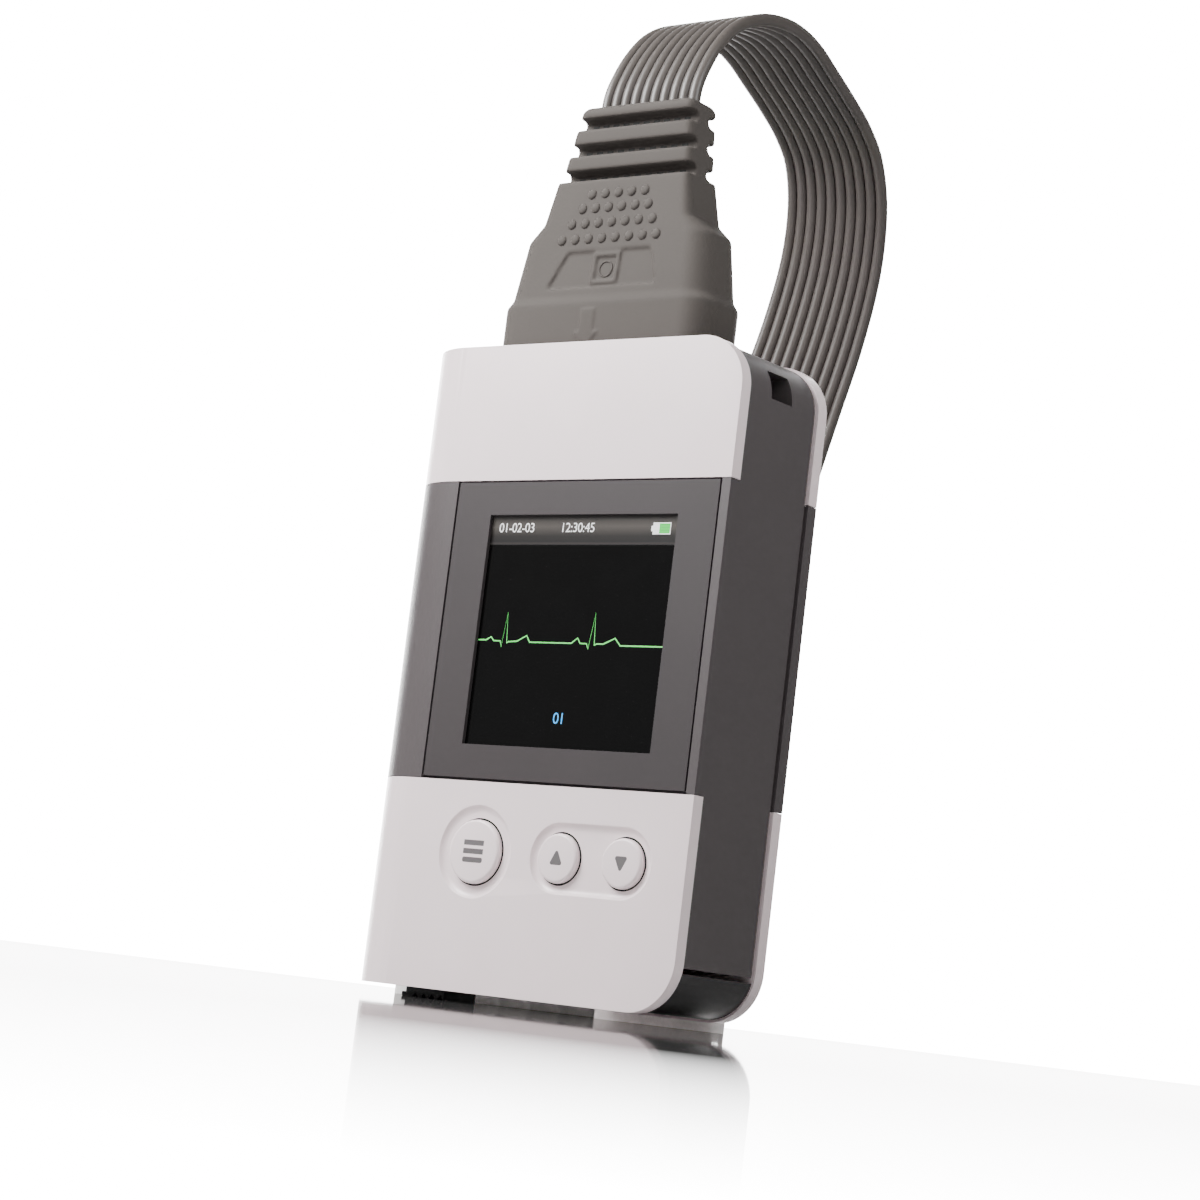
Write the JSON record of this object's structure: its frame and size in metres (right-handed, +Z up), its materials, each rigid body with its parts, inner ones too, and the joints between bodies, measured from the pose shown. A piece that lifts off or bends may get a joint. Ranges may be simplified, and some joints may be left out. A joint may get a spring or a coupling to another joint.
{
  "type": "holter monitor",
  "caption": "Pocket heart-rhythm recorder with a colour screen, menu and arrow buttons, a hinged battery door with a slide latch, and a plugged-in flat patient cable with lead ends.",
  "frame": {"origin": "bottom centre of the recorder's bounding box without its cable, on the battery door's latch", "axes": "+X to the right seen from the screen side, +Y from the screen to the back, +Z up"},
  "size_m": [0.1223, 0.1156, 0.1636],
  "materials": {
    "white_plastic": "satin",
    "button_plastic": "satin",
    "frame_plastic": "satin",
    "panel_plastic": "matte",
    "screen_glass": "gloss",
    "soft_rubber": "matte",
    "tie_fabric": "matte",
    "black_plastic": "matte",
    "board_laminate": "satin",
    "flex_film": "satin",
    "bright_steel": "satin",
    "nickel_sheet": "satin",
    "cell_jacket": "gloss",
    "door_plastic": "gloss",
    "latch_plastic": "satin",
    "gold_contact": "satin",
    "cable_plastic": "satin"
  },
  "bodies": {
    "recorder": {"mid_frame": "frame_plastic", "lanyard_corner": "frame_plastic", "front_upper_cover": "white_plastic", "front_lower_cover": "white_plastic", "rear_upper_cover": "white_plastic", "rear_band": "frame_plastic", "rear_lower_cover": "white_plastic", "display_panel": "panel_plastic", "display_glass": "screen_glass", "display_cushion": "soft_rubber", "display_module": "black_plastic", "display_flex": "flex_film", "main_board": "board_laminate", "board_screws": "bright_steel", "processor_shield": "nickel_sheet", "buzzer": "black_plastic", "backup_cell": "nickel_sheet", "card_socket": "nickel_sheet", "memory_card": "black_plastic", "tact_switches": "black_plastic", "cable_socket": "black_plastic", "socket_pins": "gold_contact", "battery_tray": "black_plastic", "battery_cell": "cell_jacket", "cell_contact": "nickel_sheet", "hinge_pin": "bright_steel", "case_screws": "bright_steel"},
    "menu_key": {"menu_button": "button_plastic", "menu_plunger": "soft_rubber"},
    "up_key": {"up_button": "button_plastic", "up_plunger": "soft_rubber"},
    "down_key": {"down_button": "button_plastic", "down_plunger": "soft_rubber"},
    "door": {"battery_door": "door_plastic", "door_contact": "nickel_sheet", "door_spring": "bright_steel"},
    "latch": {"door_latch": "latch_plastic", "latch_keeper": "latch_plastic"},
    "plug": {"plug_collar": "cable_plastic", "plug_hood": "cable_plastic", "plug_tongue": "black_plastic", "patient_ribbon": "cable_plastic", "ribbon_roll": "cable_plastic", "roll_tie": "tie_fabric", "lead_tails": "cable_plastic", "lead_sleeves": "cable_plastic", "lead_contacts": "gold_contact", "lead_comb": "white_plastic"}
  },
  "joints": [
    {"name": "menu_press", "type": "slide", "parent": "recorder", "child": "menu_key", "axis": [0, 1, 0], "range_m": [0, 0.0006], "stiffness_N_per_m": 1500},
    {"name": "up_press", "type": "slide", "parent": "recorder", "child": "up_key", "axis": [0, 1, 0], "range_m": [0, 0.0006], "stiffness_N_per_m": 1500},
    {"name": "down_press", "type": "slide", "parent": "recorder", "child": "down_key", "axis": [0, 1, 0], "range_m": [0, 0.0006], "stiffness_N_per_m": 1500},
    {"name": "door_hinge", "type": "hinge", "parent": "recorder", "child": "door", "pos_m": [0.03085, 0.0002, 0.0069], "axis": [0, -1, 0], "range_deg": [0, 100]},
    {"name": "latch_slide", "type": "slide", "parent": "door", "child": "latch", "axis": [1, 0, 0], "range_m": [0, 0.0025]},
    {"name": "plug_pull", "type": "slide", "parent": "recorder", "child": "plug", "axis": [0, 0, 1], "range_m": [0, 0.009]}
  ]
}
